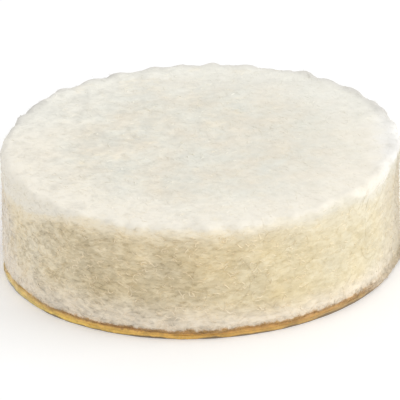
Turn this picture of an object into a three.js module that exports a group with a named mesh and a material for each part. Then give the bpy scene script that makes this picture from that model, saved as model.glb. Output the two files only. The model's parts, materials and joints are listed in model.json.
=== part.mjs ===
// A round self-adhesive felt pad for the foot of a chair or table leg: a thick disc of pressed wool
// felt, a layer of amber adhesive under it, and the yellow paper that covers the adhesive until the
// pad is stuck on. Millimetres, +Z up. The origin is the middle of the paper's underside, on which
// the pad lies, and the felt's upper face is the one that slides on the floor in use.

import * as THREE from "three";

// The three layers, from the bottom up
const cutDiameter = 20; // the round die that cuts the whole stack
const linerThickness = 0.2;
const adhesiveThickness = 0.2;
const feltThickness = 5.7;

// The backing's cut edge
const linerSetback = 0.05; // the paper's edge lies this far inside the cut
const linerEdgeRadius = 0.05; // and is rolled over by the die
const adhesiveSetback = 0.16; // the adhesive is drawn in further
const adhesiveBulge = 0.05; // and squeezed out again at mid thickness

// The felt's cut edge
const feltOffset = 0.05; // the felt lies this far towards +X of its backing
const napRadius = 0.5; // the rounded, brushed-up upper edge
const lipHeight = 0.75; // the lower edge, pinched by the die
const lipInset = 0.12; // how far that edge is drawn in where it meets the adhesive
const wallHollow = 0.06; // how far the wall falls in at mid height
const wallLean = 0.12; // the top lies this far towards +X of the bottom
const raggedBand = 0.8; // the width of the upper face's uneven margin

// The unevenness of the wall: waves round the pad, each turning a little with height.
// lobes is the number of waves in a full turn, depth their height and drift radians per millimetre.
const wallWaves = [
  { lobes: 3, depth: 0.035, phase: 0.6, drift: 0.02 },
  { lobes: 8, depth: 0.025, phase: 2.1, drift: -0.13 },
  { lobes: 19, depth: 0.02, phase: 4.4, drift: 0.55 },
  { lobes: 34, depth: 0.02, phase: 1.3, drift: -0.9 },
];

// The unevenness of the upper edge: tufts that stand up from the nap.
const tuftWaves = [
  { lobes: 5, depth: 0.02, phase: 3.2, drift: 0 },
  { lobes: 13, depth: 0.02, phase: 0.9, drift: 0 },
  { lobes: 27, depth: 0.025, phase: 5.3, drift: 0 },
  { lobes: 37, depth: 0.025, phase: 2.7, drift: 0 },
];

// The unevenness of the squeezed adhesive.
const adhesiveWaves = [
  { lobes: 6, depth: 0.03, phase: 1.1, drift: 0 },
  { lobes: 17, depth: 0.025, phase: 5.0, drift: 0 },
];

// Facets
const feltSegments = 200;
const backingSegments = 120;
const edgeSteps = 1;
const curveSteps = 3;

const wallRadius = cutDiameter / 2;
const linerRadius = wallRadius - linerSetback;
const adhesiveRadius = wallRadius - adhesiveSetback;

// The sum of the waves at an angle round the pad and a height.
function waveSum(waves, angle, height) {
  return waves.reduce(
    (sum, w) => sum + w.depth * Math.sin(w.lobes * angle + w.phase + w.drift * height),
    0,
  );
}

// Turns a profile of radius against height round the Z axis. Its ends are on the axis.
function turned(profile, steps, segments) {
  return new THREE.LatheGeometry(profile.getPoints(steps), segments).rotateX(Math.PI / 2);
}

// Moves each point of a geometry: shape(radius, angle, height) gives the three new values.
function reshaped(geometry, shape) {
  const places = geometry.getAttribute("position");
  for (let i = 0; i < places.count; i += 1) {
    const [x, y, z] = [places.getX(i), places.getY(i), places.getZ(i)];
    const [radius, angle, height] = shape(Math.hypot(x, y), Math.atan2(y, x), z);
    places.setXYZ(i, radius * Math.cos(angle), radius * Math.sin(angle), height);
  }
  geometry.computeVertexNormals();
  return geometry;
}

// The paper: a true circle with its two edges rolled over.
function linerGeometry() {
  const flatRadius = linerRadius - linerEdgeRadius;
  const upperCentre = linerThickness - linerEdgeRadius;
  const profile = new THREE.Path()
    .moveTo(0, 0)
    .lineTo(flatRadius, 0)
    .absarc(flatRadius, linerEdgeRadius, linerEdgeRadius, -Math.PI / 2, 0)
    .lineTo(linerRadius, upperCentre)
    .absarc(flatRadius, upperCentre, linerEdgeRadius, 0, Math.PI / 2)
    .lineTo(0, linerThickness);
  return turned(profile, edgeSteps, backingSegments);
}

// The adhesive: its edge is drawn in at both faces, and bulges unevenly between them.
function adhesiveGeometry() {
  const profile = new THREE.Path()
    .moveTo(0, 0)
    .lineTo(adhesiveRadius, 0)
    .quadraticCurveTo(
      adhesiveRadius + 2 * adhesiveBulge,
      adhesiveThickness / 2,
      adhesiveRadius,
      adhesiveThickness,
    )
    .lineTo(0, adhesiveThickness);
  return reshaped(turned(profile, curveSteps, backingSegments), (radius, angle, height) => [
    radius > 0 ? radius + waveSum(adhesiveWaves, angle, height) : 0,
    angle,
    height,
  ]);
}

// The felt's outline before its edge wanders: pinched lip, hollow wall and rounded nap.
function feltProfile() {
  const napCentre = feltThickness - napRadius;
  return new THREE.Path()
    .moveTo(0, 0)
    .lineTo(wallRadius - lipInset, 0)
    .quadraticCurveTo(wallRadius, 0, wallRadius, lipHeight)
    .quadraticCurveTo(
      wallRadius - 2 * wallHollow,
      (lipHeight + napCentre) / 2,
      wallRadius,
      napCentre,
    )
    .absarc(wallRadius - napRadius, napCentre, napRadius, 0, Math.PI / 2)
    .lineTo(wallRadius - napRadius - raggedBand, feltThickness)
    .lineTo(0, feltThickness);
}

// The felt: the wall wanders in and out, the upper edge stands up in tufts, and the whole leans.
// The middle of the upper face and all of the lower face stay flat.
function feltGeometry() {
  const flatRadius = wallRadius - napRadius - raggedBand;
  const blank = turned(feltProfile(), curveSteps, feltSegments);
  const felt = reshaped(blank, (radius, angle, height) => {
    const outward = THREE.MathUtils.smoothstep(radius, flatRadius, wallRadius - napRadius);
    const upward = THREE.MathUtils.smoothstep(height, feltThickness - napRadius, feltThickness);
    return [
      radius + outward * waveSum(wallWaves, angle, height),
      angle,
      height + outward * upward * waveSum(tuftWaves, angle, height),
    ];
  });
  const lean = new THREE.Matrix4().makeShear(0, 0, 0, 0, wallLean / feltThickness, 0);
  return felt.applyMatrix4(lean);
}

function felt() {
  const mesh = new THREE.Mesh(
    feltGeometry(),
    new THREE.MeshStandardMaterial({ color: 0xe8dfc8, roughness: 0.95, metalness: 0 }),
  );
  mesh.name = "felt_disc";
  mesh.position.set(feltOffset, 0, linerThickness + adhesiveThickness);
  return mesh;
}

function adhesive() {
  const mesh = new THREE.Mesh(
    adhesiveGeometry(),
    new THREE.MeshStandardMaterial({ color: 0xb07a2c, roughness: 0.35, metalness: 0 }),
  );
  mesh.name = "adhesive_layer";
  mesh.position.z = linerThickness;
  return mesh;
}

function liner() {
  const mesh = new THREE.Mesh(
    linerGeometry(),
    new THREE.MeshStandardMaterial({ color: 0xdcb55a, roughness: 0.5, metalness: 0 }),
  );
  mesh.name = "release_liner";
  return mesh;
}

const pad = new THREE.Group();
pad.name = "felt_pad";
pad.add(liner(), adhesive(), felt());

export default pad;
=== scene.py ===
"""The looks of a round self-adhesive felt pad: pressed wool felt with its loose strands, the squeezed
amber adhesive under it and the yellow release paper on which it lies."""

import json
import math
from typing import NamedTuple

import bmesh
import bpy
import numpy as np
from mathutils import Matrix, Vector, noise
from mathutils.bvhtree import BVHTree


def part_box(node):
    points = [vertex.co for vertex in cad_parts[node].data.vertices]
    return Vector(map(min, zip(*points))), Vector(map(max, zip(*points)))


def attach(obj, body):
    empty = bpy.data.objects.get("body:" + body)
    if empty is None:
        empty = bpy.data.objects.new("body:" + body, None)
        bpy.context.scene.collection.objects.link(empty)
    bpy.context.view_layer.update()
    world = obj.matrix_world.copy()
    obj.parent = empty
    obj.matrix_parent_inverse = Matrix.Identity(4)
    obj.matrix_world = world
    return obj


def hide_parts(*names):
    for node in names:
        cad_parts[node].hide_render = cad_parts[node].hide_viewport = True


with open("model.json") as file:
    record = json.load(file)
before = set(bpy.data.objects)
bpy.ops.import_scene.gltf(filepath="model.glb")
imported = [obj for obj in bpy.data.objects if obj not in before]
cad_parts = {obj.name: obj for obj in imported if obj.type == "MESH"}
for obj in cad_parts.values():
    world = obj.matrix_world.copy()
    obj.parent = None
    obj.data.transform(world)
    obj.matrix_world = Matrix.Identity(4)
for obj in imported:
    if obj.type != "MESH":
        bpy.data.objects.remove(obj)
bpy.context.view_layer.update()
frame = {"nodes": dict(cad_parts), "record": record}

MM = 0.001

# What the frame gives
felt_low, felt_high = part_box("felt_disc")
paper_low, paper_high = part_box("release_liner")
glue_low, glue_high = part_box("adhesive_layer")
mounts = {mount["name"]: mount for mount in frame["record"]["mounts"]}
felt_foot = felt_low.z
felt_top = mounts["glide_face"]["pos_m"][2]
felt_radius = (felt_high.x - felt_low.x) / 2
felt_middle = Vector(((felt_low.x + felt_high.x) / 2, (felt_low.y + felt_high.y) / 2, 0))
BACKING_RADIUS = (paper_high.x - paper_low.x) / 2 / MM

# The felt's surface, in millimetres
FACE_SIZE = 0.1
UNDERSIDE_MARGIN = 0.25
FOOT_RISE = 0.15  # below this the wall wanders in and out, but not up and down
EDGE_WIDTH = 0.7  # the brushed-up edge of the upper face
EDGE_FULLNESS = 0.13  # how far brushing has lifted that edge out of its rounding
FOOT_WIDTH = 0.5  # the lowest stretch of the wall
FOOT_FULLNESS = 0.08  # which spreads this far over the backing
BACKING_CUT = 9.8  # the pad is cut straight on the left, this far from the middle, at the backing
FELT_CUT = 9.86  # and here at the felt
FELT_CUT_TOP = 2.6  # up to this height
CUT_FADE = 0.7  # over the last stretch below that height the cut fades out
CUT_RELEASE = 0.3  # and the wall may stand this much further out
DROOP = 0.3  # on the right, and at that cut, the foot hangs down this far over its edge
DROOP_FULLNESS = 0.07  # where it spreads this much further
DROOP_FROM = 7.0  # on the right this starts here, from the middle
DROOP_TO = 9.2  # and is full here
CUT_DROOP_FROM = 9.1  # on the left it starts here
CUT_DROOP_WIDTH = 0.6  # and is full after this
FOOT_SAG = 0.09  # elsewhere the foot sags over the backing's edge by up to this
SAG_PATCH = 1.1  # in patches of about this size
SAG_FROM = -6.0  # to the right of here
SAG_WIDTH = 4.0  # and fully so after this
OVERHANG = 0.05  # both start this far inside the backing's edge
COMBED_TO = 8.0  # from the middle to this far right, the wall grows smoother
COMBED_LUMPS = 0.5  # down to this share of its lumps
SHRINK = 0.01  # the strands stand this far proud of the pressed body
WALL_LUMPS = ((2.6, 0.05), (1.1, 0.04), (0.55, 0.035))  # wavelength and depth
FACE_LUMPS = ((3.2, 0.03), (1.3, 0.012), (0.5, 0.006))
EDGE_TUFTS = ((1.4, 0.2), (0.7, 0.12))
TUFT_FOLD = 0.4  # how much of a tuft's depth goes inwards, at the folds
LAYING = 0.45  # a wall lump is this much as high as it is long

# Where the pale wool of the upper face gives way to the tan of the wall, in millimetres below the top
NAP_START = 0.3
# Painted light: it reaches further down on the right, where the pad is lit
NAP_ENDS = ((0.55, 0.66, 0.9), (0.3, 1.2, 1.8), (0.15, 2.6, 2.6))  # share, end on the left, on the right
NAP_TURN = (-1, 4)  # between these places it goes from its end on the left to its end on the right
# At the pad's two ends it reaches further down, painted light where the ends are seen edge on, but less far
# at the very right, painted shade: from here to here, right of the middle, and by how much
NAP_DROPS = ((-6.0, -9.0, 1.05), (7.6, 8.9, 0.55), (9.1, 9.7, -0.4))

# The other zones of the felt, each from its start to where it is full, in millimetres
ZONES = ("Face", "Edge", "Brow", "Foot", "SoakedShade", "Left", "Right", "EndShade", "Behind", "Far")
BROW = (0.02, 0.3)  # below the top
FOOT_ENDS = (2.1, 1.5)  # the foot's upper end, above the felt's lower face, on the left and on the right
FOOT_TURN = (-2, 6)  # between these places it goes from one to the other
# The soaked band at the felt's lowest edge: partly adhesive crept into the wool, partly painted shade of
# the crease over the backing
SOAKED_SHADE = (0.2, 0.05)  # above the felt's lower face
SOAKED_SHADE_RIGHT = (9.3, 8.0)  # right of the middle it counts for less
SOAKED_SHADE_LEFT_OVER = 0.3  # down to this share
LEFT_END = (-9.0, -10)  # right of the middle
RIGHT_END = (8.4, 10.1)
# Painted shade at the pad's two ends, where the wall is seen edge on, from its start to where it is full,
# right of the middle
END_SHADE_LEFT = (-9.79, -9.97)
END_SHADE_RIGHT = (8.95, 9.95)
END_SHADE_LEFT_SHARE = 0.75
END_SHADE_BEHIND = (1, -1.5)  # behind the middle it counts for less
END_SHADE_BEHIND_SHARE = 0.2
WALL_SLOPE = 0.02  # the wall's lean, right for each unit up
EDGE_INSET = 5.5  # the painted highlight towards the face's rim starts this far inside the wall
BEHIND = (-1, 5)  # behind the middle
# The painted shade of the rim at the back:
FAR_INSET = (0.9, 0.1)  # inside the wall
FAR_BELOW = (0.4, 0.1)  # below the top
FAR_BEHIND = (0.0, 4)  # behind the middle
UNEVEN_HEIGHT = 0.6  # how far noise moves a zone's end up and down
UNEVEN_CREEP = 0.5
UNEVEN_SIDEWAYS = 1.5
UNEVEN_MARGIN = 2.0


class Strand(NamedTuple):
    """How one kind of strand varies. Its radius, its length and how far its ends dip into the felt are in
    millimetres. Stray is the spread of its direction in radians, bend that of its sideways bow as a share
    of its length, and lift is how high its middle rides over the felt, in radii."""

    radius: tuple
    length: tuple
    stray: float
    bend: float
    lift: tuple
    sink: float


FACE_STRAND = Strand((0.008, 0.015), (0.3, 0.8), stray=0.9, bend=0.16, lift=(-0.8, 0.2), sink=0.01)
WALL_STRAND = Strand((0.013, 0.027), (0.2, 0.6), stray=0.3, bend=0.14, lift=(-0.9, 0.2), sink=0.015)
BRIGHT_STRAND = Strand((0.018, 0.036), (0.2, 0.55), stray=0.55, bend=0.3, lift=(0.2, 1.0), sink=0.02)
LOOSE_HAIR = Strand((0.006, 0.01), (0.8, 1.8), stray=0.9, bend=0.35, lift=(2, 2), sink=0)
FOOT_RADIUS = (0.008, 0.015)
FOOT_LENGTH = (0.12, 0.42)
FOOT_STRAY = 0.7
FOOT_SWELL = (0.0, 0.035)  # how far a strand of the foot bows out
FUZZ_RADIUS = (0.005, 0.008)
FUZZ_LENGTH = (0.08, 0.26)
FUZZ_RISE = (0.15, 0.75)  # the height of its tip, as a share of its length
FUZZ_CURL = 0.6  # how much steeper it leaves the wool than it ends
FUZZ_ROOT = 0.01  # how deep it starts in the wool
FACE_SWIRL = 3.5  # the strands of the face turn together by up to this many radians
FACE_SWIRL_SIZE = 3.0  # from place to place, at about this distance
WALL_SWIRL = 0.6
WALL_SWIRL_SIZE = 1.8
WALL_CLIMB = 0.35  # on the left the strands of the wall climb by up to this many radians
COMBED_DEPTH = 0.7  # combed strands lie this many radii deeper
BRIGHT_ON_FACE = 0.18  # the share of the bright strands that the face gets for its area
BRIGHT_FACE_DEPTH = 0.6  # they lie this many radii deeper there
STRAND_POINTS = 5
HAIR_POINTS = 9
FUZZ_POINTS = 3
CELL_MARGIN = 0.1  # the free border of a strand's cell in its UV map
SEED = 20

# Where the strands grow, by how far the felt's surface faces up, 1 for level, and in millimetres
FACE_UP = 0.35  # the face at least
WALL_UP = 0.7  # the wall at most, up or down
OUTSIDE_UP = 0.85  # the wall with the rounded edge at most
FOOT_DOWN = -0.9  # the foot at least
FOOT_FREE = 0.05  # no fuzz grows below this, above the felt's lower face
FOOT_BAND = 0.3  # the strands of the foot grow below this
FOOT_INSET = 0.05  # and this far inside the backing's edge or further out

# The backing, in millimetres
BACKING_STEPS = 520
WAVY_BAND = 0.3  # the width of the margin that wanders
PAPER_ARRIS = 0.035
PAPER_WAVES = ((1.6, 0.02), (0.6, 0.025), (0.3, 0.012))
PAPER_RINGS = (0.25, 0.5, 0.75, 0.94)  # shares of the radius
GLUE_SETBACK = 0.02
GLUE_BULGE = 0.05
GLUE_LAYERS = 6
GLUE_WAVES = ((1.9, 0.04), (0.45, 0.05))
GLUE_RINGS = (0.4, 0.8, 0.96)

# The room, in metres
WORLD_LIGHT = 0.84
FLOOR_HALF_WIDTH = 0.5
FLOOR_WHITE = 0.93
FLOOR_LIFT = 0.15  # what the floor adds where the camera sees it, so that it shows white

# The camera, from the outline in the photograph
ELEVATION = math.radians(24.9)
ROLL = math.radians(-2.15)
DISTANCE = 0.6
PIXELS_PER_MM = 19.896
IMAGE_WIDTH = 400
SENSOR = 36.0
AIM_RIGHT = 0.092 * MM
AIM_UP = -0.047 * MM


def srgb(red, green, blue):
    """A colour given as it shows on a screen, 0 to 255, as linear values with an alpha of 1."""
    shares = [c / 255 for c in (red, green, blue)]
    return (*[s / 12.92 if s <= 0.04045 else ((s + 0.055) / 1.055) ** 2.4 for s in shares], 1.0)


# The colours. Those that change across the pad are given from left to right, in millimetres from its middle
FACE_COOL = srgb(231, 230, 219)
FACE_WARM = srgb(236, 228, 211)
# Painted highlight: the face paler towards its rim, where the brushed-up nap catches the light, a little
# less so behind
FACE_EDGE_HIGHLIGHT = srgb(248, 242, 228)
FACE_EDGE_HIGHLIGHT_BEHIND = srgb(242, 240, 230)
# Painted shade: the rounded rim greyer along the back
FAR_RIM_SHADE = srgb(220, 217, 210)
# Painted light: the face paler at the pad's two ends, against the shade on its rounded edge there
FACE_LEFT_PAINTED_LIGHT = srgb(250, 245, 234)
FACE_RIGHT_PAINTED_LIGHT = srgb(253, 251, 246)
END_SHADE_TONE = 0.88  # painted shade: the darkest tone at the pad's two ends, where the wall is seen edge on
# Painted light: a paler, warmer colour where the rim turns down, against the shade on the rounded edge
BROW_PAINTED_LIGHT = ((1, srgb(251, 240, 216)), (6.5, srgb(235, 229, 212)))
FACE_MOTTLE = 0.26  # the depth of the mottled tone
WALL_TAN = ((-8.5, srgb(230, 217, 190)), (-6.5, srgb(219, 204, 173)), (-3.5, srgb(217, 201, 168)),
            (0, srgb(224, 208, 174)), (4, srgb(229, 214, 178)), (8.5, srgb(230, 219, 190)))
DARK_IS_WARM = 1.2  # how far the mottle's dark patches lean to the warmer of the next two
WALL_COOLER = (0.985, 1.012, 1.06, 1)
WALL_WARMER = (1.015, 0.99, 0.91, 1)
WALL_MOTTLE = 0.66
FLECKS = 1.8  # the strength of its laid flecks
COMBED_TONES = (1.1, 0.5)  # how much all tones count on the left and on the right
# Painted light at the wall's left end, where it is seen edge on and away from the lamp, and painted shade
# at its right end
WALL_LEFT_PAINTED_LIGHT = srgb(242, 233, 220)
WALL_RIGHT_PAINTED_SHADE = srgb(221, 209, 185)
# Painted light: the wall's lowest stretch paler, standing in for light bounced up from the table
FOOT_PAINTED_LIGHT = srgb(245, 234, 216)
# The soaked band: partly the adhesive in the wool, partly painted shade of the crease over the backing
WOOL_SOAKED_SHADE = ((-9.5, srgb(224, 202, 156)), (-7, srgb(206, 172, 124)), (-4, srgb(194, 158, 110)),
               (3, srgb(206, 168, 110)), (7.5, srgb(204, 170, 122)), (9, srgb(214, 196, 168)))
FUZZ = srgb(238, 228, 210)
SHINY_FROM = 0.95  # of the strands in order of their tone, those past this share get a painted glint
PALEST = 0.94  # no channel of the wool is brighter
WOOL_SHEEN = 0.3
PAPER_YELLOW = ((-10, srgb(240, 214, 122)), (-7, srgb(250, 212, 104)), (-3, srgb(248, 200, 98)),
                (1, srgb(226, 178, 88)), (5, srgb(204, 164, 92)), (8, srgb(184, 152, 96)))
# Painted shade: the paper's lower arris darker where it meets the table
PAPER_CONTACT_SHADE = srgb(132, 112, 80)
ADHESIVE_AMBER = ((-10, srgb(240, 208, 124)), (-5, srgb(240, 196, 108)), (0, srgb(224, 176, 98)),
                  (5, srgb(206, 162, 98)), (9, srgb(186, 154, 104)))
# The adhesive's upper part: partly soaked into the wool, partly painted shade of the crease under the felt
ADHESIVE_BROWN = ((-10, srgb(232, 200, 128)), (-8, srgb(214, 176, 108)), (-5, srgb(190, 144, 88)),
                  (2, srgb(202, 154, 92)), (6, srgb(208, 166, 108)), (9, srgb(206, 174, 124)))


def linked(name, data):
    made = bpy.data.objects.new(name, data)
    bpy.context.scene.collection.objects.link(made)
    return made


def evaluated_mesh(obj):
    """A new mesh of the object as its modifiers or its bevel leave it."""
    graph = bpy.context.evaluated_depsgraph_get()
    return bpy.data.meshes.new_from_object(obj.evaluated_get(graph), depsgraph=graph)


def worn(obj, material, slot, *nodes):
    """Gives a piece its material and the CAD nodes that it stands for. Its record slot is not used."""
    obj.data.materials.clear()
    obj.data.materials.append(material)
    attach(obj, "root")
    if nodes:
        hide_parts(*nodes)
    return obj


# Materials


class Sheet:
    """A node tree under construction: adds nodes, and links or sets their inputs."""

    def __init__(self, tree):
        self.tree = tree

    def add(self, kind, inputs=None, **settings):
        node = self.tree.nodes.new(kind)
        for name, value in settings.items():
            setattr(node, name, value)
        for name, value in (inputs or {}).items():
            socket = node.inputs[name]
            if isinstance(value, bpy.types.NodeSocket):
                self.tree.links.new(value, socket)
            else:
                socket.default_value = value
        return node

    def maths(self, operation, a, b=0.0, c=0.0):
        return self.add("ShaderNodeMath", {0: a, 1: b, 2: c}, operation=operation).outputs[0]

    def mixed(self, factor, a, b):
        node = self.add("ShaderNodeMix", data_type="RGBA")
        for socket, value in ((node.inputs[0], factor), (node.inputs[6], a), (node.inputs[7], b)):
            if isinstance(value, bpy.types.NodeSocket):
                self.tree.links.new(value, socket)
            else:
                socket.default_value = value
        return node.outputs[2]

    def ramp(self, value, low, high, smooth=True, to=(0.0, 1.0)):
        kind = "SMOOTHSTEP" if smooth else "LINEAR"
        inputs = {"Value": value, "From Min": low, "From Max": high, "To Min": to[0], "To Max": to[1]}
        return self.add("ShaderNodeMapRange", inputs, interpolation_type=kind).outputs["Result"]

    def span(self, value, ends, to=(0.0, 1.0)):
        """A ramp between two places given in millimetres."""
        return self.ramp(value, ends[0] * MM, ends[1] * MM, to=to)

    def noise(self, vector, per_mm, detail=2.0, roughness=0.5, distortion=0.0):
        inputs = {"Vector": vector, "Scale": per_mm / MM, "Detail": detail,
                  "Roughness": roughness, "Distortion": distortion}
        return self.add("ShaderNodeTexNoise", inputs).outputs["Fac"]


def group(name, inputs, outputs):
    """An empty node group with these sockets: (name, socket kind, default)."""
    tree = bpy.data.node_groups.new(name, "ShaderNodeTree")
    for label, kind, value in inputs:
        socket = tree.interface.new_socket(label, in_out="INPUT", socket_type=kind)
        if value is not None:
            socket.default_value = value
    for label, kind in outputs:
        tree.interface.new_socket(label, in_out="OUTPUT", socket_type=kind)
    sheet = Sheet(tree)
    given = tree.nodes.new("NodeGroupInput")
    result = tree.nodes.new("NodeGroupOutput")
    return sheet, given.outputs, result.inputs


def wool_mottle_group():
    """The uneven tone of pressed wool: Tone is soft patches and laid flecks about 0, Warmth is where
    the wool is yellower and Relief is its fine matting."""
    sheet, given, result = group(
        "wool_mottle",
        [("Vector", "NodeSocketVector", None), ("Flecks", "NodeSocketFloat", 1.0)],
        [("Tone", "NodeSocketFloat"), ("Warmth", "NodeSocketFloat"), ("Relief", "NodeSocketFloat")],
    )
    link = sheet.tree.links.new
    clouds = sheet.noise(given["Vector"], 0.5, detail=3.0, roughness=0.6)
    flat = {0: given["Vector"], 1: (1, 1, 1 / LAYING)}
    laid = sheet.add("ShaderNodeVectorMath", flat, operation="MULTIPLY").outputs[0]
    flecks = sheet.noise(laid, 1.9, detail=4.0, roughness=0.62, distortion=0.5)
    fleck = sheet.maths("MULTIPLY", sheet.maths("SUBTRACT", flecks, 0.5), given["Flecks"])
    link(sheet.maths("ADD", sheet.maths("SUBTRACT", clouds, 0.5), fleck), result["Tone"])
    elsewhere = sheet.add("ShaderNodeVectorMath", {0: given["Vector"], 1: (0.031, 0.017, 0.012)}).outputs[0]
    link(sheet.ramp(sheet.noise(elsewhere, 0.5, detail=4.0, roughness=0.6), 0.25, 0.75), result["Warmth"])
    link(sheet.noise(given["Vector"], 5.5, detail=3.0, roughness=0.65, distortion=0.8), result["Relief"])
    return sheet.tree


def below_top(ends):
    """Heights in metres, of places that are so many millimetres below the felt's upper face."""
    return [felt_top - end * MM for end in ends]


def above_foot(ends):
    """Heights in metres, of places that are so many millimetres above the felt's lower face."""
    return [felt_foot + end * MM for end in ends]


def felt_zones_group():
    """Where on the felt a point is: Face is 1 on the upper face and its rounded edge and 0 on the cut
    wall, Edge is 1 towards the rim of the face, Brow is where that rim turns down, Foot is 1 at the
    wall's lowest edge, the soaked band is where the adhesive has crept up into that edge, partly painted
    shade of the crease over the backing, Left and Right are 1 at the pad's two ends and the painted end
    shade at their very tips, Behind is the far half, and Far its rim, greyed by painted shade. The pale
    nap of the face reaches further down the wall towards +X and furthest down at the two ends: painted
    light, where the right is lit and the ends are seen edge on."""
    sheet, given, result = group(
        "felt_zones",
        [("Vector", "NodeSocketVector", None)],
        [(label, "NodeSocketFloat") for label in ZONES],
    )
    link = sheet.tree.links.new
    place = sheet.add("ShaderNodeSeparateXYZ", {0: given["Vector"]}).outputs
    uneven = sheet.maths("SUBTRACT", sheet.noise(given["Vector"], 0.9, detail=4.0, roughness=0.6), 0.5)
    height = sheet.maths("MULTIPLY_ADD", uneven, UNEVEN_HEIGHT * MM, place["Z"])
    nap_height = height
    for start, end, drop in NAP_DROPS:
        lowered = sheet.span(place["X"], (start, end), to=(0.0, drop * MM))
        nap_height = sheet.maths("ADD", nap_height, lowered)
    nap = 0
    for share, *ends in NAP_ENDS:
        end = sheet.span(place["X"], NAP_TURN, to=below_top(ends))
        reached = sheet.ramp(nap_height, end, felt_top - NAP_START * MM)
        nap = sheet.maths("MULTIPLY_ADD", reached, share, nap)
    link(nap, result["Face"])
    link(sheet.ramp(nap_height, *below_top(BROW)), result["Brow"])
    foot_end = sheet.span(place["X"], FOOT_TURN, to=above_foot(FOOT_ENDS))
    link(sheet.ramp(height, foot_end, felt_foot), result["Foot"])
    creep = sheet.maths("SUBTRACT", sheet.noise(given["Vector"], 2.2, detail=4.0, roughness=0.7), 0.5)
    crept = sheet.maths("MULTIPLY_ADD", creep, UNEVEN_CREEP * MM, place["Z"])
    soaked_shade = sheet.ramp(crept, *above_foot(SOAKED_SHADE))
    kept = sheet.span(place["X"], SOAKED_SHADE_RIGHT, to=(SOAKED_SHADE_LEFT_OVER, 1.0))
    link(sheet.maths("MULTIPLY", soaked_shade, kept), result["SoakedShade"])
    sideways = sheet.maths("MULTIPLY_ADD", uneven, UNEVEN_SIDEWAYS * MM, place["X"])
    link(sheet.span(sideways, LEFT_END), result["Left"])
    link(sheet.span(sideways, RIGHT_END), result["Right"])
    centred = sheet.add("ShaderNodeVectorMath", {0: given["Vector"], 1: felt_middle}, operation="SUBTRACT")
    flat = sheet.add("ShaderNodeVectorMath", {0: centred.outputs[0], 1: (1, 1, 0)}, operation="MULTIPLY")
    across = sheet.add("ShaderNodeVectorMath", {0: flat.outputs[0]}, operation="LENGTH").outputs["Value"]
    reach = sheet.maths("MULTIPLY_ADD", uneven, UNEVEN_MARGIN * MM, across)
    link(sheet.ramp(reach, felt_radius - EDGE_INSET * MM, felt_radius), result["Edge"])
    link(sheet.span(place["Y"], BEHIND), result["Behind"])
    rim = sheet.ramp(across, *[felt_radius - inset * MM for inset in FAR_INSET])
    upper = sheet.ramp(place["Z"], *below_top(FAR_BELOW))
    beyond = sheet.span(place["Y"], FAR_BEHIND)
    link(sheet.maths("MULTIPLY", rim, sheet.maths("MULTIPLY", upper, beyond)), result["Far"])
    upright = sheet.maths("MULTIPLY_ADD", place["Z"], -WALL_SLOPE, place["X"])
    left_end = sheet.span(upright, END_SHADE_LEFT, to=(0.0, END_SHADE_LEFT_SHARE))
    right_end = sheet.span(upright, END_SHADE_RIGHT)
    near = sheet.span(place["Y"], END_SHADE_BEHIND, to=(END_SHADE_BEHIND_SHARE, 1.0))
    link(sheet.maths("MULTIPLY_ADD", right_end, near, left_end), result["EndShade"])
    return sheet.tree


def principled(name, roughness, sheen=0.0, coat=0.0):
    material = bpy.data.materials.new(name)
    material.use_nodes = True
    shader = material.node_tree.nodes["Principled BSDF"]
    shader.inputs["Roughness"].default_value = roughness
    shader.inputs["Sheen Weight"].default_value = sheen
    shader.inputs["Sheen Roughness"].default_value = 0.4
    shader.inputs["Coat Weight"].default_value = coat
    shader.inputs["Specular IOR Level"].default_value = 0.25
    return material, Sheet(material.node_tree), shader


def object_place(sheet):
    return sheet.add("ShaderNodeTexCoord").outputs["Object"]


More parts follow.
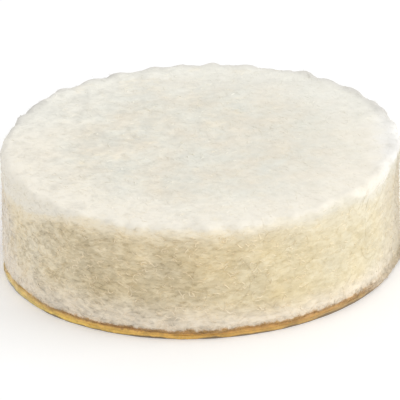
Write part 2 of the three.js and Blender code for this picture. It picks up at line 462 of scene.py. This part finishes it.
def wool(name, shade=1.0, spread=0.0, bleach=0.0, relief=0.0):
    """Felt or its strands: the colours of the felt's zones under one mottled tone. The shade lightens
    or darkens the strands and the spread sets them apart from each other, with a few given a painted
    glint. All these tones count for less on the right, where the nap is combed smooth. Bleach is how
    far the wall's colours give way to that of its finest fuzz."""
    material, sheet, shader = principled(name, 0.95, sheen=WOOL_SHEEN)
    link = sheet.tree.links.new
    place = object_place(sheet)
    zones = sheet.add("ShaderNodeGroup", node_tree=felt_zones)
    mottle = sheet.add("ShaderNodeGroup", {"Flecks": FLECKS}, node_tree=wool_mottle)
    link(place, zones.inputs["Vector"])
    link(place, mottle.inputs["Vector"])
    warmth = mottle.outputs["Warmth"]
    warmer = sheet.maths("MULTIPLY_ADD", mottle.outputs["Tone"], -DARK_IS_WARM, warmth)
    tint = sheet.mixed(warmer, WALL_COOLER, WALL_WARMER)
    tinted = {0: across_pad(sheet, place, WALL_TAN), 1: tint}
    wall = sheet.add("ShaderNodeVectorMath", tinted, operation="MULTIPLY").outputs[0]
    if bleach:
        wall = sheet.mixed(bleach, wall, FUZZ)
    # painted bounce light at the foot
    wall = sheet.mixed(zones.outputs["Foot"], wall, FOOT_PAINTED_LIGHT)
    # painted light at the wall's left end, painted shade at its right end
    wall = sheet.mixed(zones.outputs["Left"], wall, WALL_LEFT_PAINTED_LIGHT)
    wall = sheet.mixed(zones.outputs["Right"], wall, WALL_RIGHT_PAINTED_SHADE)
    # the soaked band: adhesive in the wool and painted crease shade
    wall = sheet.mixed(zones.outputs["SoakedShade"], wall, across_pad(sheet, place, WOOL_SOAKED_SHADE))
    # painted highlight towards the rim
    edge = sheet.mixed(zones.outputs["Behind"], FACE_EDGE_HIGHLIGHT, FACE_EDGE_HIGHLIGHT_BEHIND)
    face = sheet.mixed(zones.outputs["Edge"], sheet.mixed(warmth, FACE_COOL, FACE_WARM), edge)
    # painted light at the face's two ends
    face = sheet.mixed(zones.outputs["Right"], face, FACE_RIGHT_PAINTED_LIGHT)
    # painted light where the rim turns down
    face = sheet.mixed(zones.outputs["Brow"], face, across_pad(sheet, place, BROW_PAINTED_LIGHT))
    face = sheet.mixed(zones.outputs["Left"], face, FACE_LEFT_PAINTED_LIGHT)
    colour = sheet.mixed(zones.outputs["Face"], wall, face)
    # painted shade along the back rim
    colour = sheet.mixed(zones.outputs["Far"], colour, FAR_RIM_SHADE)
    # painted shade at the pad's two ends
    end_shade = sheet.ramp(zones.outputs["EndShade"], 0.0, 1.0, smooth=False, to=(1.0, END_SHADE_TONE))
    colour = toned(sheet, colour, end_shade)
    depth = sheet.ramp(zones.outputs["Face"], 0.0, 1.0, smooth=False, to=(WALL_MOTTLE, FACE_MOTTLE))
    tone = sheet.maths("MULTIPLY", mottle.outputs["Tone"], depth)
    if spread:
        chance = sheet.add("ShaderNodeNewGeometry").outputs["Random Per Island"]
        apart = sheet.ramp(chance, 0.0, 1.0, smooth=False, to=(shade - 1 - spread, shade - 1 + spread))
        # painted glint on the palest few strands
        shine = sheet.ramp(chance, SHINY_FROM, 1.0, to=(0.0, 2 * spread))
        tone = sheet.maths("ADD", sheet.maths("ADD", apart, shine), tone)
    right = sheet.add("ShaderNodeSeparateXYZ", {0: place}).outputs["X"]
    calm = sheet.ramp(right, -COMBED_TO * MM, COMBED_TO * MM, to=COMBED_TONES)
    tone = sheet.maths("MULTIPLY_ADD", tone, calm, 1.0)
    link(capped(sheet, toned(sheet, colour, tone)), shader.inputs["Base Color"])
    if relief:
        bump = sheet.add("ShaderNodeBump", {"Distance": relief * MM})
        link(mottle.outputs["Relief"], bump.inputs["Height"])
        link(bump.outputs[0], shader.inputs["Normal"])
    return material


def across_pad(sheet, place, stops):
    """Colours by how far a point is to the right of the pad's middle, from (millimetres, colour)."""
    split = sheet.add("ShaderNodeSeparateXYZ", {0: place}).outputs
    first, last = stops[0][0], stops[-1][0]
    share = sheet.ramp(split["X"], first * MM, last * MM, smooth=False)
    node = sheet.add("ShaderNodeValToRGB", {0: share})
    ramp = node.color_ramp
    while len(ramp.elements) < len(stops):
        ramp.elements.new(0.5)
    for element, (x, colour) in zip(ramp.elements, stops):
        element.position = (x - first) / (last - first)
        element.color = colour
    return node.outputs["Color"]


def toned(sheet, colour, tone):
    scaled = sheet.add("ShaderNodeVectorMath", {0: colour}, operation="SCALE")
    sheet.tree.links.new(tone, scaled.inputs["Scale"])
    return scaled.outputs[0]


def capped(sheet, colour):
    """The colour, darkened where its brightest channel would pass that of the palest wool."""
    red, green, blue = sheet.add("ShaderNodeSeparateColor", {0: colour}).outputs
    highest = sheet.maths("MAXIMUM", sheet.maths("MAXIMUM", red, green), blue)
    return toned(sheet, colour, sheet.maths("MINIMUM", sheet.maths("DIVIDE", PALEST, highest), 1.0))


def squeezed_adhesive():
    """Amber, with a ragged brown line along its top, partly where it has soaked into the wool and partly
    painted shade of the crease under the felt.
    """
    material, sheet, shader = principled("squeezed_adhesive", 0.35, coat=0.1)
    place = object_place(sheet)
    height = sheet.add("ShaderNodeSeparateXYZ", {0: place}).outputs["Z"]
    ragged = sheet.maths("SUBTRACT", sheet.noise(place, 1.4, detail=5.0, roughness=0.8), 0.5)
    height = sheet.maths("MULTIPLY_ADD", ragged, 0.6 * MM, height)
    amber = across_pad(sheet, place, ADHESIVE_AMBER)
    brown = across_pad(sheet, place, ADHESIVE_BROWN)
    soaked_shade = sheet.ramp(height, glue_low.z + 0.08 * MM, glue_low.z + 0.16 * MM)
    patches = sheet.ramp(sheet.noise(place, 1.5, detail=5.0, roughness=0.7), 0.3, 0.7, to=(0.78, 1.16))
    colour = toned(sheet, sheet.mixed(soaked_shade, amber, brown), patches)
    sheet.tree.links.new(colour, shader.inputs["Base Color"])
    return material


def yellow_paper():
    """Glossy yellow paper, unevenly coated, with painted contact shade along its lower arris."""
    material, sheet, shader = principled("yellow_release_paper", 0.3, coat=0.6)
    shader.inputs["Specular IOR Level"].default_value = 0.5
    link = sheet.tree.links.new
    place = object_place(sheet)
    height = sheet.add("ShaderNodeSeparateXYZ", {0: place}).outputs["Z"]
    coating = sheet.noise(place, 1.1, detail=5.0, roughness=0.75)
    colour = across_pad(sheet, place, PAPER_YELLOW)
    colour = toned(sheet, colour, sheet.ramp(coating, 0.3, 0.7, to=(0.66, 1.16)))
    # painted contact shade along the lower arris, wandering in height
    arris_wander = sheet.maths("SUBTRACT", sheet.noise(place, 0.6, detail=5.0, roughness=0.6), 0.5)
    arris = sheet.ramp(sheet.maths("MULTIPLY_ADD", arris_wander, 0.4 * MM, height), 0.1 * MM, 0.04 * MM)
    link(sheet.mixed(arris, colour, PAPER_CONTACT_SHADE), shader.inputs["Base Color"])
    bump = sheet.add("ShaderNodeBump", {"Distance": 0.01 * MM, "Height": sheet.noise(place, 6.0, 4.0)})
    link(bump.outputs[0], shader.inputs["Normal"])
    return material


# The felt


def felt_blank():
    """The CAD felt with even faces, as a bmesh in millimetres. Its covered underside is one face."""
    bm = bmesh.new()
    bm.from_mesh(frame["nodes"]["felt_disc"].data)
    bmesh.ops.remove_doubles(bm, verts=bm.verts, dist=0.0001 * MM)
    bmesh.ops.scale(bm, vec=(1 / MM,) * 3, verts=bm.verts)
    mesh = bpy.data.meshes.new("felt_blank")
    bm.to_mesh(mesh)
    bm.free()
    blank = linked("felt_blank", mesh)
    remesh = blank.modifiers.new("even_faces", "REMESH")
    remesh.mode = "VOXEL"
    remesh.voxel_size = FACE_SIZE
    even = evaluated_mesh(blank)
    bpy.data.objects.remove(blank)
    bm = bmesh.new()
    bm.from_mesh(even)
    covered = [f for f in bm.faces if all(
        v.co.z < felt_foot / MM + FACE_SIZE / 2
        and (v.co.xy - felt_middle.xy / MM).length < felt_radius / MM - UNDERSIDE_MARGIN
        for v in f.verts
    )]
    bmesh.ops.delete(bm, geom=covered, context="FACES")
    bmesh.ops.holes_fill(bm, edges=[e for e in bm.edges if e.is_boundary], sides=0)
    return bm


def wave(place, wavelength, number):
    """A soft random wave at a place, -1 to 1. Waves with other numbers don't follow it."""
    return noise.noise(place / wavelength + Vector((0, 0, 7.0 * number)))


def lumps(place, waves):
    """The sum of soft random waves at a place, each given by its wavelength and depth."""
    return sum(depth * wave(place, wavelength, number)
               for number, (wavelength, depth) in enumerate(waves))


def tufts(place, waves):
    """As lumps, but rounded bumps with sharp folds between them."""
    return sum(depth * (2 * abs(wave(place, wavelength, number)) - TUFT_FOLD)
               for number, (wavelength, depth) in enumerate(waves))


def eased(value):
    share = min(1.0, max(0.0, value))
    return share * share * (3 - 2 * share)


def felt_body():
    """The pressed wool, with its lumps and tufts worked into the fine faces."""
    bm = felt_blank()
    bmesh.ops.smooth_vert(bm, verts=bm.verts, factor=0.5, use_axis_x=True, use_axis_y=True, use_axis_z=True)
    bm.normal_update()
    for v in bm.verts:
        across = (v.co.xy - felt_middle.xy / MM).length
        inset = felt_radius / MM - across
        below = felt_top / MM - v.co.z
        wall = eased(below / EDGE_WIDTH)
        edge = eased(1 - inset / EDGE_WIDTH) * eased(1 - below / EDGE_WIDTH)
        laid = Vector((v.co.x, v.co.y, v.co.z / LAYING))
        combed = 1 - (1 - COMBED_LUMPS) * eased(v.co.x / COMBED_TO)
        depth = wall * combed * lumps(laid, WALL_LUMPS) + (1 - wall) * lumps(v.co, FACE_LUMPS)
        depth += edge * (EDGE_FULLNESS + tufts(v.co, EDGE_TUFTS)) - SHRINK
        offset = v.normal * depth
        above = v.co.z - felt_foot / MM
        offset.z *= eased(above / FOOT_RISE)
        low = eased(1 - above / FOOT_WIDTH)
        droop = eased((v.co.x - DROOP_FROM) / (DROOP_TO - DROOP_FROM))
        droop += eased((-v.co.x - CUT_DROOP_FROM) / CUT_DROOP_WIDTH)
        outward = (Vector((v.co.x, v.co.y, 0)) - felt_middle / MM).normalized()
        offset += outward * low * (FOOT_FULLNESS + droop * DROOP_FULLNESS)
        sag = FOOT_SAG * eased((v.co.x - SAG_FROM) / SAG_WIDTH) * eased(0.5 + wave(v.co, SAG_PATCH, 0))
        v.co += offset
        release = CUT_RELEASE * eased((v.co.z - FELT_CUT_TOP) / CUT_FADE + 1)
        v.co.x = max(v.co.x, -FELT_CUT - release)
        past_edge = max(v.co.xy.length - BACKING_RADIUS, -v.co.x - BACKING_CUT)
        outside = eased((past_edge + OVERHANG) / OVERHANG)
        v.co.z -= low * outside * (droop * DROOP + (1 - droop) * sag)
    bmesh.ops.scale(bm, vec=(MM,) * 3, verts=bm.verts)
    return as_object(bm, "felt_body")


# The strands


def surface_samples(mesh, count, wanted, rng):
    """Random places on the mesh's faces and the normals there. How many fall on a face goes by its area
    and by how far it is wanted."""
    mesh.calc_loop_triangles()
    total = len(mesh.loop_triangles)
    corners = np.empty(total * 3, np.int32)
    mesh.loop_triangles.foreach_get("vertices", corners)
    places = np.empty(len(mesh.vertices) * 3, np.float32)
    mesh.vertices.foreach_get("co", places)
    a, b, c = (places.reshape(-1, 3).astype(float)[corners.reshape(-1, 3)[:, i]] for i in range(3))
    across = np.cross(b - a, c - a)
    area = np.linalg.norm(across, axis=1)
    normal = across / np.maximum(area, 1e-18)[:, None]
    share = area * wanted((a + b + c) / 3, normal)
    picked = rng.choice(total, count, p=share / share.sum())
    u, v = rng.random((2, count, 1))
    flip = u + v > 1
    u, v = np.where(flip, 1 - u, u), np.where(flip, 1 - v, v)
    spot = a[picked] + u * (b - a)[picked] + v * (c - a)[picked]
    return spot, normal[picked]


def swirl(places, wavelength):
    """A slowly turning value, -1 to 1, for each place."""
    return np.array([noise.noise(Vector(p) / (wavelength * MM)) for p in places])


def turned_along(normals, reference, angle):
    """A direction in the surface: the reference turned about the normal by an angle."""
    first = reference - normals * (reference * normals).sum(1)[:, None]
    first /= np.linalg.norm(first, axis=1)[:, None]
    second = np.cross(normals, first)
    return first * np.cos(angle)[:, None] + second * np.sin(angle)[:, None]


def laid_on(surface, points, heights):
    """The points moved to these heights over the nearest place of the surface."""
    laid = []
    for point, height in zip(points.reshape(-1, 3), heights.ravel()):
        place, normal, _, _ = surface.find_nearest(Vector(point))
        laid.append(place + normal * height)
    return np.array(laid).reshape(points.shape)


def strand_paths(surface, spots, normals, along, length, bend, lift, sink, points=STRAND_POINTS):
    """The points of each strand: it follows the surface, bends to one side, and dips in at its ends."""
    side = np.cross(normals, along)
    s = np.linspace(-0.5, 0.5, points)
    travel = s[None, :, None] * length[:, None, None]
    sideways = bend[:, None, None] * (s * 2)[None, :, None] ** 2 * length[:, None, None]
    path = spots[:, None, :] + travel * along[:, None, :] + sideways * side[:, None, :]
    heights = lift[:, None] * (1 - (2 * s) ** 2)[None, :] - sink * (2 * np.abs(s))[None, :] ** 3
    return laid_on(surface, path, heights)


def three_sided_section():
    """The curve that the strands are swept with. It runs clockwise, so that their faces point outwards."""
    data = bpy.data.curves.new("strand_section", "CURVE")
    data.dimensions = "2D"
    spline = data.splines.new("POLY")
    spline.points.add(2)
    for i, point in enumerate(spline.points):
        angle = -i * math.tau / 3
        point.co = (math.cos(angle), math.sin(angle), 0, 1)
    spline.use_cyclic_u = True
    return linked("strand_section", data)


def own_cells(mesh, count):
    """Gives each strand a cell of its own in the UV map: along it one way and round it the other."""
    cells = mesh.uv_layers[0]
    cells.name = "OFBake"
    places = np.empty(len(mesh.loops) * 2, np.float32)
    cells.uv.foreach_get("vector", places)
    strand = np.arange(len(mesh.loops)) * count // len(mesh.loops)
    rows = math.ceil(math.sqrt(count))
    corner = np.column_stack((strand % rows, strand // rows))
    within = CELL_MARGIN + (1 - 2 * CELL_MARGIN) * places.reshape(-1, 2)
    cells.uv.foreach_set("vector", ((corner + within) / rows).ravel())


def strands(name, paths, thickness):
    """One mesh of strands along these paths, each with three sides and pointed ends. None of them
    reaches below the table on which the pad lies."""
    data = bpy.data.curves.new(name, "CURVE")
    data.dimensions = "3D"
    data.bevel_mode = "OBJECT"
    data.bevel_object = section
    count = len(paths[0])
    taper = np.sin(np.linspace(0, math.pi, count)) ** 0.5
    taper[[0, -1]] = 0
    for path, radius in zip(paths, thickness):
        path[:, 2] = np.maximum(path[:, 2], radius)
        spline = data.splines.new("POLY")
        spline.points.add(count - 1)
        spline.points.foreach_set("co", np.column_stack((path, np.ones(count))).ravel())
        spline.points.foreach_set("radius", radius * taper)
    curve = linked(name + "_curve", data)
    mesh = evaluated_mesh(curve)
    bpy.data.objects.remove(curve)
    own_cells(mesh, len(paths))
    bm = bmesh.new()
    bm.from_mesh(mesh)
    bmesh.ops.remove_doubles(bm, verts=bm.verts, dist=1e-9)
    return as_object(bm, name, smooth=False)


def level_round(normals):
    """The level direction that runs round the pad at each of these normals of the wall."""
    return np.cross(np.tile((0, 0, 1.0), (len(normals), 1)), normals)


def on_face(places, normals):
    return normals[:, 2] > FACE_UP


def on_wall(places, normals):
    return (np.abs(normals[:, 2]) < WALL_UP) & (places[:, 2] > felt_foot)


def on_outside(places, normals):
    return (normals[:, 2] < OUTSIDE_UP) & (places[:, 2] > felt_foot + FOOT_FREE * MM)


def outside_and_few_on_face(places, normals):
    wanted = np.where(on_face(places, normals), BRIGHT_ON_FACE, 1.0)
    return wanted * (places[:, 2] > felt_foot + FOOT_FREE * MM)


def at_foot(places, normals):
    above = places[:, 2] - felt_foot
    outside = np.hypot(places[:, 0], places[:, 1]) > (BACKING_RADIUS - FOOT_INSET) * MM
    return (above < FOOT_BAND * MM) & outside & (normals[:, 2] > FOOT_DOWN)


def face_strands(name, felt, surface, count, rng):
    """Strands matted into the upper face, at all angles but turning together from place to place."""
    spots, normals = surface_samples(felt.data, count, on_face, rng)
    kind = FACE_STRAND
    angle = FACE_SWIRL * swirl(spots, FACE_SWIRL_SIZE) + rng.normal(0, kind.stray, count)
    along = turned_along(normals, np.tile((1.0, 0, 0), (count, 1)), angle)
    thickness = rng.uniform(*kind.radius, count) * MM
    length = rng.uniform(*kind.length, count) * MM
    bend = rng.normal(0, kind.bend, count)
    lift = thickness * rng.uniform(*kind.lift, count)
    paths = strand_paths(surface, spots, normals, along, length, bend, lift, kind.sink * MM)
    return strands(name, paths, thickness)


def combed_down(places):
    """How far the strands at these places are pressed into the wool, 0 on the left to 1 on the right."""
    return np.clip(places[:, 0] / (COMBED_TO * MM), 0, 1)


def wall_strands(name, felt, surface, count, rng):
    """Strands of the cut wall, which lie mostly round the pad."""
    spots, normals = surface_samples(felt.data, count, on_wall, rng)
    kind = WALL_STRAND
    angle = WALL_SWIRL * swirl(spots, WALL_SWIRL_SIZE) + rng.normal(0, kind.stray, count)
    angle -= WALL_CLIMB * np.minimum(normals[:, 0], 0)
    along = turned_along(normals, level_round(normals), angle)
    thickness = rng.uniform(*kind.radius, count) * MM
    lift = rng.uniform(*kind.lift, count) - COMBED_DEPTH * combed_down(spots)
    length = rng.uniform(*kind.length, count) * MM
    bend = rng.normal(0, kind.bend, count)
    paths = strand_paths(surface, spots, normals, along, length, bend, thickness * lift, kind.sink * MM)
    return strands(name, paths, thickness)


def bright_strands(name, felt, surface, count, rng):
    """Thicker pale strands that lie curled on top of the others and catch the light, their paleness partly
    a painted glint.
    """
    spots, normals = surface_samples(felt.data, count, outside_and_few_on_face, rng)
    kind = BRIGHT_STRAND
    along = turned_along(normals, level_round(normals), rng.normal(0, kind.stray, count))
    thickness = rng.uniform(*kind.radius, count) * MM
    lift = rng.uniform(*kind.lift, count) - COMBED_DEPTH * combed_down(spots)
    lift -= BRIGHT_FACE_DEPTH * on_face(spots, normals)
    length = rng.uniform(*kind.length, count) * MM
    bend = rng.normal(0, kind.bend, count)
    paths = strand_paths(surface, spots, normals, along, length, bend, thickness * lift, kind.sink * MM)
    return strands(name, paths, thickness)


def loose_hairs(name, felt, surface, count, rng):
    """Long single hairs that have worked loose and lie curled on the felt."""
    spots, normals = surface_samples(felt.data, count, on_outside, rng)
    kind = LOOSE_HAIR
    along = turned_along(normals, level_round(normals), rng.normal(0, kind.stray, count))
    thickness = rng.uniform(*kind.radius, count) * MM
    length = rng.uniform(*kind.length, count) * MM
    bend = rng.normal(0, kind.bend, count)
    paths = strand_paths(surface, spots, normals, along, length, bend, thickness * kind.lift[0],
                         kind.sink * MM, points=HAIR_POINTS)
    return strands(name, paths, thickness)


def fuzz(name, felt, surface, count, rng):
    """Fine ends that stand out of the wall and the rounded edge, a haze where the pad is seen edge on."""
    spots, normals = surface_samples(felt.data, count, on_outside, rng)
    along = turned_along(normals, level_round(normals), rng.uniform(0, math.tau, count))
    length = rng.uniform(*FUZZ_LENGTH, count) * MM
    height = length * rng.uniform(*FUZZ_RISE, count)
    s = np.linspace(0, 1, FUZZ_POINTS)
    rise = -FUZZ_ROOT * MM + height[:, None] * (s * (1 + FUZZ_CURL - FUZZ_CURL * s))[None, :]
    paths = spots[:, None, :] + (s[None, :] * length[:, None])[:, :, None] * along[:, None, :]
    paths += rise[:, :, None] * normals[:, None, :]
    return strands(name, paths, rng.uniform(*FUZZ_RADIUS, count) * MM)


def foot_strands(name, felt, surface, count, rng):
    """Short ends at the lowest edge, some of which reach down over the adhesive."""
    spots, normals = surface_samples(felt.data, count, at_foot, rng)
    normals[:, 2] = 0
    normals /= np.linalg.norm(normals, axis=1)[:, None]
    along = turned_along(normals, level_round(normals), rng.normal(0, FOOT_STRAY, count))
    swell = rng.uniform(*FOOT_SWELL, count) * MM
    paths = straight_ends(spots, normals, along, rng.uniform(*FOOT_LENGTH, count) * MM, swell)
    return strands(name, paths, rng.uniform(*FOOT_RADIUS, count) * MM)


def straight_ends(middle, normals, along, length, swell):
    """The points of strands that bow out by their swell but don't follow the surface."""
    s = np.linspace(-0.5, 0.5, STRAND_POINTS)
    paths = middle[:, None, :] + s[None, :, None] * length[:, None, None] * along[:, None, :]
    return paths + (swell[:, None] * (1 - (2 * s) ** 2)[None, :])[:, :, None] * normals[:, None, :]


# The backing


def turned_disc(profile):
    """A closed disc: the profile of (radius, height) points is spun in full round the vertical axis."""
    bm = bmesh.new()
    points = [bm.verts.new((radius, 0, height)) for radius, height in profile]
    edges = [bm.edges.new(pair) for pair in zip(points, points[1:])]
    bmesh.ops.spin(bm, geom=points + edges, cent=(0, 0, 0), axis=(0, 0, 1), angle=math.tau,
                   steps=BACKING_STEPS, use_merge=True)
    bmesh.ops.remove_doubles(bm, verts=bm.verts, dist=0.0001 * MM)
    bmesh.ops.recalc_face_normals(bm, faces=bm.faces)
    return bm


def as_object(bm, name, smooth=True):
    mesh = bpy.data.meshes.new(name)
    bm.to_mesh(mesh)
    bm.free()
    mesh.polygons.foreach_set("use_smooth", [smooth] * len(mesh.polygons))
    return linked(name, mesh)


def rounded_edge(radius, low, high, corner, steps=4):
    """The profile points of a disc's edge with both corners rounded."""
    quarter = [i * math.pi / 2 / steps for i in range(steps + 1)]
    lower = [(radius - corner + corner * math.sin(a), low + corner - corner * math.cos(a))
             for a in quarter]
    upper = [(radius - corner + corner * math.cos(a), high - corner + corner * math.sin(a))
             for a in quarter]
    return lower + upper


def roughened(bm, inner, waves):
    """Lets a disc's edge, outside the inner radius, wander in and out, and cuts it straight on the left."""
    for v in bm.verts:
        across = v.co.xy.length
        if across > inner:
            v.co.xy *= 1 + lumps(v.co / MM, waves) * MM / across
            v.co.x = max(v.co.x, -BACKING_CUT * MM)


def flat_profile(radius, rings, edge):
    """The profile of a flat disc, up its edge from the middle of one face to the middle of the other.
    The rings are the shares of the radius at which its faces are divided."""
    low, high = edge[0][1], edge[-1][1]
    lower = [(radius * share, low) for share in (0, *rings)]
    upper = [(across, high) for across, _ in reversed(lower)]
    return lower + edge + upper


def release_paper():
    radius = (paper_high.x - paper_low.x) / 2
    edge = rounded_edge(radius, paper_low.z, paper_high.z, PAPER_ARRIS * MM)
    bm = turned_disc(flat_profile(radius, PAPER_RINGS, edge))
    roughened(bm, radius - WAVY_BAND * MM, PAPER_WAVES)
    return as_object(bm, "release_paper")


def adhesive():
    radius = (glue_high.x - glue_low.x) / 2 - GLUE_SETBACK * MM
    rise = glue_high.z - glue_low.z
    edge = [(radius + GLUE_BULGE * MM * math.cos(math.pi * i / (2 * GLUE_LAYERS)),
             glue_low.z + rise * i / GLUE_LAYERS) for i in range(GLUE_LAYERS + 1)]
    bm = turned_disc(flat_profile(radius, GLUE_RINGS, edge))
    roughened(bm, radius - WAVY_BAND * MM, GLUE_WAVES)
    return as_object(bm, "adhesive")


# The room


def studio_floor():
    bm = bmesh.new()
    bmesh.ops.create_grid(bm, x_segments=1, y_segments=1, size=FLOOR_HALF_WIDTH)
    floor = as_object(bm, "studio_floor", smooth=False)
    material = bpy.data.materials.new("studio_white")
    material.use_nodes = True
    nodes = material.node_tree.nodes
    nodes.remove(nodes["Principled BSDF"])
    sheet = Sheet(material.node_tree)
    diffuse = sheet.add("ShaderNodeBsdfDiffuse", {"Color": (FLOOR_WHITE, FLOOR_WHITE, FLOOR_WHITE, 1)})
    path = sheet.add("ShaderNodeLightPath").outputs
    seen = sheet.maths("MAXIMUM", path["Is Camera Ray"], path["Is Glossy Ray"])
    seen = sheet.maths("MAXIMUM", seen, path["Is Transmission Ray"])
    lift = sheet.add("ShaderNodeEmission", {"Strength": sheet.maths("MULTIPLY", seen, FLOOR_LIFT)})
    both = sheet.add("ShaderNodeAddShader", {0: diffuse.outputs[0], 1: lift.outputs[0]})
    sheet.tree.links.new(both.outputs[0], nodes["Material Output"].inputs["Surface"])
    floor.data.materials.append(material)


def lamp(name, azimuth, elevation, distance, size, power):
    """A soft square lamp that faces the pad. Azimuth 0 is in front of it and 90 is on its right."""
    a, e = math.radians(azimuth), math.radians(elevation)
    way = Vector((math.sin(a) * math.cos(e), -math.cos(a) * math.cos(e), math.sin(e)))
    data = bpy.data.lights.new(name, "AREA")
    data.shape = "SQUARE"
    data.size = size
    data.energy = power
    made = linked(name, data)
    made.location = way * distance
    made.rotation_euler = way.to_track_quat("Z", "Y").to_euler()


def studio_light():
    world = bpy.data.worlds.new("studio_world")
    bpy.context.scene.world = world
    world.use_nodes = True
    nodes = world.node_tree.nodes
    sheet = Sheet(world.node_tree)
    path = sheet.add("ShaderNodeLightPath").outputs
    seen = sheet.maths("MAXIMUM", path["Is Camera Ray"], path["Is Glossy Ray"])
    seen = sheet.maths("MAXIMUM", seen, path["Is Transmission Ray"])
    strength = sheet.add("ShaderNodeMapRange", {"Value": seen, "To Min": WORLD_LIGHT, "To Max": 1.0})
    sheet.tree.links.new(strength.outputs["Result"], nodes["Background"].inputs["Strength"])
    nodes["Background"].inputs["Color"].default_value = (1, 1, 1, 1)
    lamp("side_lamp", azimuth=80, elevation=26, distance=0.3, size=0.2, power=0.3)


def camera():
    data = bpy.data.cameras.new("camera")
    data.sensor_width = SENSOR
    data.lens = PIXELS_PER_MM / MM * DISTANCE * SENSOR / IMAGE_WIDTH
    data.clip_start = 0.01
    data.clip_end = 10.0
    made = linked("camera", data)
    level_up = Vector((0, math.sin(ELEVATION), math.cos(ELEVATION)))
    back = Vector((0, -math.cos(ELEVATION), math.sin(ELEVATION)))
    level_right = Vector((1, 0, 0))
    turn = Matrix.Rotation(ROLL, 3, back)
    right, up = turn @ level_right, turn @ level_up
    aim = Vector((0, 0, felt_top / 2)) + right * AIM_RIGHT + up * AIM_UP
    facing = Matrix((right, up, back)).transposed().to_4x4()
    made.matrix_world = Matrix.Translation(aim + back * DISTANCE) @ facing
    bpy.context.scene.camera = made


bpy.context.scene.view_settings.view_transform = "Standard"

wool_mottle = wool_mottle_group()
felt_zones = felt_zones_group()
section = three_sided_section()

body = felt_body()
worn(body, wool("pressed_wool", relief=0.006), "felt", "felt_disc")

rng = np.random.default_rng(SEED)
surface = BVHTree.FromPolygons([v.co for v in body.data.vertices], [p.vertices for p in body.data.polygons])
pieces = (
    ("face_strands_pale", face_strands, 5200, wool("pale_face_wool", 1.03, spread=0.05)),
    ("face_strands_soft", face_strands, 5200, wool("soft_face_wool", 0.97, spread=0.05)),
    ("wall_strands_pale", wall_strands, 4800, wool("pale_wall_wool", 1.05, spread=0.07)),
    ("wall_strands_tan", wall_strands, 4800, wool("tan_wall_wool", 0.98, spread=0.07)),
    ("wall_strands_deep", wall_strands, 4800, wool("deep_wall_wool", 0.89, spread=0.06)),
    ("foot_strands", foot_strands, 5200, wool("foot_wool", 1.04, spread=0.08)),
    # the bright strands' paleness is partly a painted glint
    ("bright_strands", bright_strands, 2200, wool("bright_wool", 1.28, spread=0.13, bleach=0.35)),
    ("loose_hairs", loose_hairs, 200, wool("hair_wool", 1.0, spread=0.2)),
    ("fuzz", fuzz, 10000, wool("fuzz_wool", 1.04, spread=0.1, bleach=0.3)),
)
for name, make, count, material in pieces:
    worn(make(name, body, surface, count, rng), material, "felt")

bpy.data.objects.remove(section)
worn(release_paper(), yellow_paper(), "liner_paper", "release_liner")
worn(adhesive(), squeezed_adhesive(), "adhesive", "adhesive_layer")

studio_floor()
studio_light()
camera()
